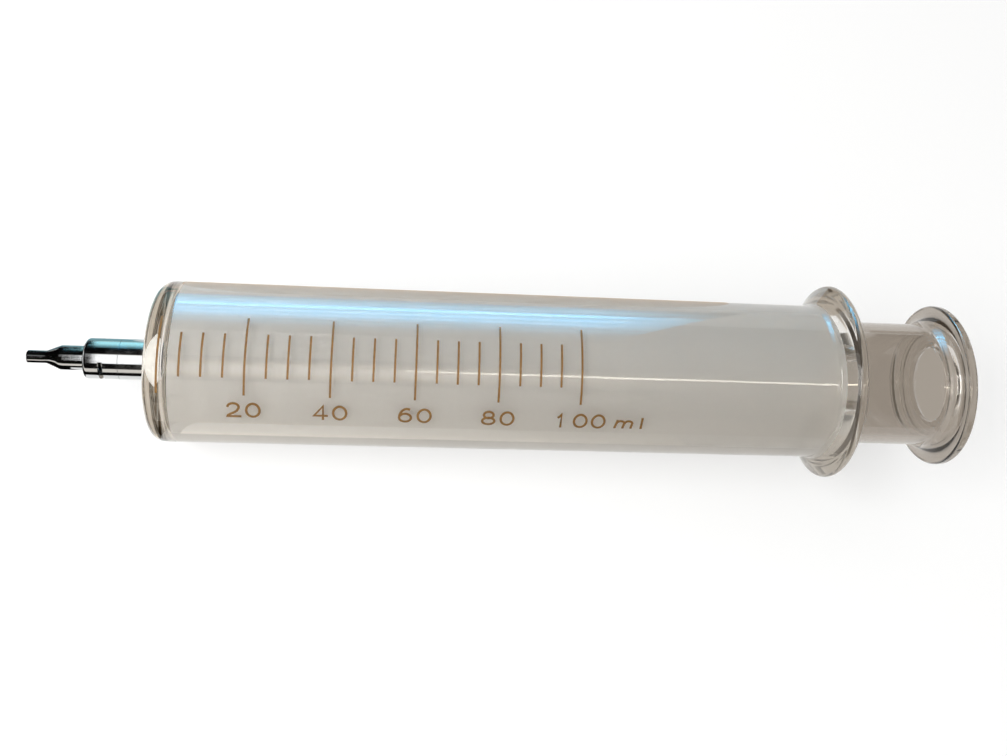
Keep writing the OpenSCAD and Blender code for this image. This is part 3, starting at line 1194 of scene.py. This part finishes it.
@dataclass
class Studio:
    """Camera, floor and light. Lengths in metres, and angles in degrees above the way to the camera."""

    # Middle of the syringe, under which the board's middle lies
    middle_x: float = 0.118
    # The camera's place: its station, how far it stands off the axis, and how far below CAMERA_TURN
    camera_x: float = 0.09069
    camera_far: float = 0.26486
    camera_low: float = 0.00164
    # Its directions, as shares of the way along the barrel, of the way to the camera and of the way down
    camera_right: Triple = (0.99410, 0.10402, -0.03049)
    camera_down: Triple = (0.04181, -0.10838, 0.99323)
    camera_ahead: Triple = (0.10001, -0.98865, -0.11209)
    lens: float = 36.58
    # The outlines close in toward the picture's top, as where a picture is cut from the lower part of a frame
    frame_shift: float = -0.1152
    floor_rest: float = -0.01887
    floor_slope: float = -0.03250
    floor_radius: float = 1.6
    floor_sides: int = 64
    board_clear: float = 0.0148
    card_lift: float = 0.0001
    fill: float = 0.68
    soft_power: float = 4.5
    soft_size: float = 0.5
    soft_far: float = 0.5
    soft_angle: float = 3.0
    soft_x: float = -0.35

    def camera(self) -> None:
        """Puts the camera where the photograph was taken from."""
        near, low = toward_camera(0), toward_camera(-90)
        ways = (self.camera_right, self.camera_down, self.camera_ahead)
        right, down, ahead = (X_AXIS * a + near * b + low * c for a, b, c in ways)
        lens = bpy.data.cameras.new("camera")
        lens.lens, lens.sensor_width, lens.shift_y = self.lens, 36.0, self.frame_shift
        made = bpy.data.objects.new("camera", lens)
        turn = Matrix((right, -down, -ahead)).transposed().to_4x4()
        spot = X_AXIS * self.camera_x + near * self.camera_far + low * self.camera_low
        made.matrix_world = Matrix.Translation(spot) @ turn
        bpy.context.scene.collection.objects.link(made)
        bpy.context.scene.camera = made

    def floor_point(self, x: float, y: float, lift: float = 0.0) -> Triple:
        """Point on the board, which slopes so that the flange and the barrel's front rest on it."""
        return x, y, self.floor_rest + self.floor_slope * x + lift

    def floor(self) -> None:
        """Lays a round board under the syringe."""
        bm = bmesh.new()
        rim = []
        for k in range(self.floor_sides):
            a = math.tau * k / self.floor_sides
            x, y = self.middle_x + self.floor_radius * math.cos(a), self.floor_radius * math.sin(a)
            rim.append(bm.verts.new(self.floor_point(x, y)))
        hub = bm.verts.new(self.floor_point(self.middle_x, 0.0))
        for a, b in zip(rim, rim[1:] + rim[:1]):
            bm.faces.new((hub, a, b))
        stage_mesh("floor_board", bm, PaleSweep("pale_board"))

    def world(self) -> None:
        """Makes the room white where it is looked at, and a plain fill light elsewhere."""
        made = bpy.data.worlds.new("room")
        made.use_nodes = True
        tree = made.node_tree
        tree.nodes.clear()
        room = {"Color": WHITE, "Strength": looked_at(tree, 1.0, self.fill)}
        light = add_node(tree, "ShaderNodeBackground", room)
        add_node(tree, "ShaderNodeOutputWorld", {"Surface": light[0]})
        bpy.context.scene.world = made

    def softbox(self) -> None:
        """Sets a soft lamp to the left, which faces the syringe's axis."""
        light = bpy.data.lights.new("left_softbox", "AREA")
        light.shape, light.energy = "RECTANGLE", self.soft_power
        light.size = light.size_y = self.soft_size
        made = bpy.data.objects.new("left_softbox", light)
        out = toward_camera(self.soft_angle)
        turn = Matrix((X_AXIS, out.cross(X_AXIS), out)).transposed().to_4x4()
        made.matrix_world = Matrix.Translation(X_AXIS * self.soft_x + out * self.soft_far) @ turn
        made.visible_camera = made.visible_glossy = False
        bpy.context.scene.collection.objects.link(made)

    def panels(self) -> list[Panel]:
        """Lists the lights and flags that stand in for the room that glass and metal mirror.

        Returns:
            The panels, in the order in which they are built.
        """
        window = Glow("window_light", "#5CCAFF", 11.0, 0.25, 0.37, middle=84.0, soft_over=0.36, streaks=0.7)
        strip = Glow("strip_light", "#FFF6E6", 12.0)
        far_light = Glow("far_light", "#FFFAF2", 14.0)
        shade = Glow("graded_card", "#FFF9F0", 1.0, 0.0, 0.36, end_strength=0.15)
        sheen = Glow("wall_sheen", "#FFF3E4", 3.7, 0.12, 0.40, middle=-9.0, soft_over=0.17)
        low = Glow("low_light", "#FFFBF4", 2.6, 0.06, 0.17, end_strength=1.2)
        warm = Glow("warm_board", "#DCC6B0")
        black = Glow("black_flag", "#060606")
        teal = Glow("teal_window", "#B4F6FF", 1.5, middle=99.0, soft_over=0.40)
        dim = Glow("teal_card", "#8BBCC4")
        pale = Glow("pale_card", "#FFFFFF", 1.8)
        grey = Glow("grey_card", "#707070")
        return [
            Panel("window_glow", 44, 112, 0.6, window, ((-0.09, 0.26), (-0.09, 0.38))),
            Panel("thin_strip", -6.2, -3.8, 0.6, strip, ((0.10, 0.64),), True),
            Panel("left_far_light", -24, 24, 0.5, far_light, ((-0.9, -0.56),)),
            Panel("right_far_light", -24, 24, 0.6, far_light, ((0.86, 1.0),)),
            Panel("shade_panel", -80, 80, 0.66, shade, ((-0.2, 1.4),), True),
            Panel("sheen_panel", -26, 8, 0.62, sheen, ((-0.35, 0.42),)),
            Panel("low_sheen", -92, -80, 0.6, low, ((0.036, 0.17),)),
            Panel("warm_edge_board", 117.5, 140.0, 0.6, warm, ((0.02, 0.2), (0.033, 0.185))),
            Panel("rear_tip_flag", 24, 64, 0.55, black, ((-0.35, -0.088),)),
            Panel("front_tip_flag", -65, -28, 0.55, black, ((-0.35, -0.088),)),
            Panel("front_tip_board", -100, -66, 0.2, black, ((-0.12, 0.0315),)),
            Panel("front_nozzle_board", -150, -66, 0.18, black, ((-0.12, 0.0095), (-0.12, 0.0))),
            Panel("rear_nozzle_board", 115, 172, 0.18, black, ((-0.12, -0.03), (-0.12, 0.009))),
            Panel("cone_flag", -30, 30, 0.15, black, ((-0.6, -0.148),)),
            Panel("nozzle_flag", -64, 114, 0.53, black, ((-1.3, -0.139),)),
            Panel("tip_window", 62, 114, 0.545, teal, ((-0.25, -0.082),)),
            Panel("rear_tip_board", 115, 150, 0.19, dim, ((-0.08, -0.002), (0.0, 0.031))),
            Panel("tip_card", -28, 22, 0.56, pale, ((-0.2, -0.088),)),
            Panel("nozzle_card", 6, 26, 0.52, grey, ((-0.4, -0.139),)),
        ]

    def card(self, name: str, corners: Sequence[Triple], look: Finish, mirrored: bool) -> None:
        """Sets up a flat card that only glass shows.

        Args:
            name: the card's name.
            corners: its four corners.
            look: its light.
            mirrored: whether reflections show it too, and not only the view through glass.
        """
        bm = bmesh.new()
        bm.faces.new([bm.verts.new(c) for c in corners])
        stage_mesh(name, bm, look, UNLIT if mirrored else (*UNLIT, "glossy"))

    def cards(self) -> None:
        """Lays a warm grey card on the board and an upright one past the thumb flange, to tone the glass."""
        flat = ((-0.2, -0.35), (0.5, -0.35), (0.5, 0.35), (-0.2, 0.35))
        tone = Glow("warm_grey_card", "#B7B0A7", 1.5, 0.03, 0.12, end_strength=1.0)
        self.card("under_card", [self.floor_point(x, y, self.card_lift) for x, y in flat], tone, False)
        upright = ((-0.5, -0.02), (0.5, -0.02), (0.5, 0.5), (-0.5, 0.5))
        self.card("end_card", [(0.45, y, z) for y, z in upright], Glow("dim_card", "#7A746A"), True)

    @staticmethod
    def bounces() -> None:
        """Lets light bounce often enough in the nested glass walls, which would turn black otherwise."""
        paths = bpy.context.scene.cycles
        paths.max_bounces, paths.transmission_bounces = 32, 32
        paths.glossy_bounces, paths.diffuse_bounces = 16, 6

    def build(self) -> None:
        """Sets up the whole studio."""
        self.bounces()
        self.camera()
        self.floor()
        self.world()
        self.softbox()
        for panel in self.panels():
            panel.build(self.board_clear)
        self.cards()
        log.info("studio: camera, board, world, softbox and panels")


def main() -> None:
    """Builds the syringe from its sub-assemblies and sets it in the studio."""
    logging.basicConfig(level=logging.INFO, format="%(message)s")
    bpy.context.scene.view_settings.view_transform = "Standard"
    for part in (Studio(), GlassBarrel(), GlassPlunger(), MetalTip(), VolumeScale()):
        part.build()


if __name__ == "__main__":
    main()
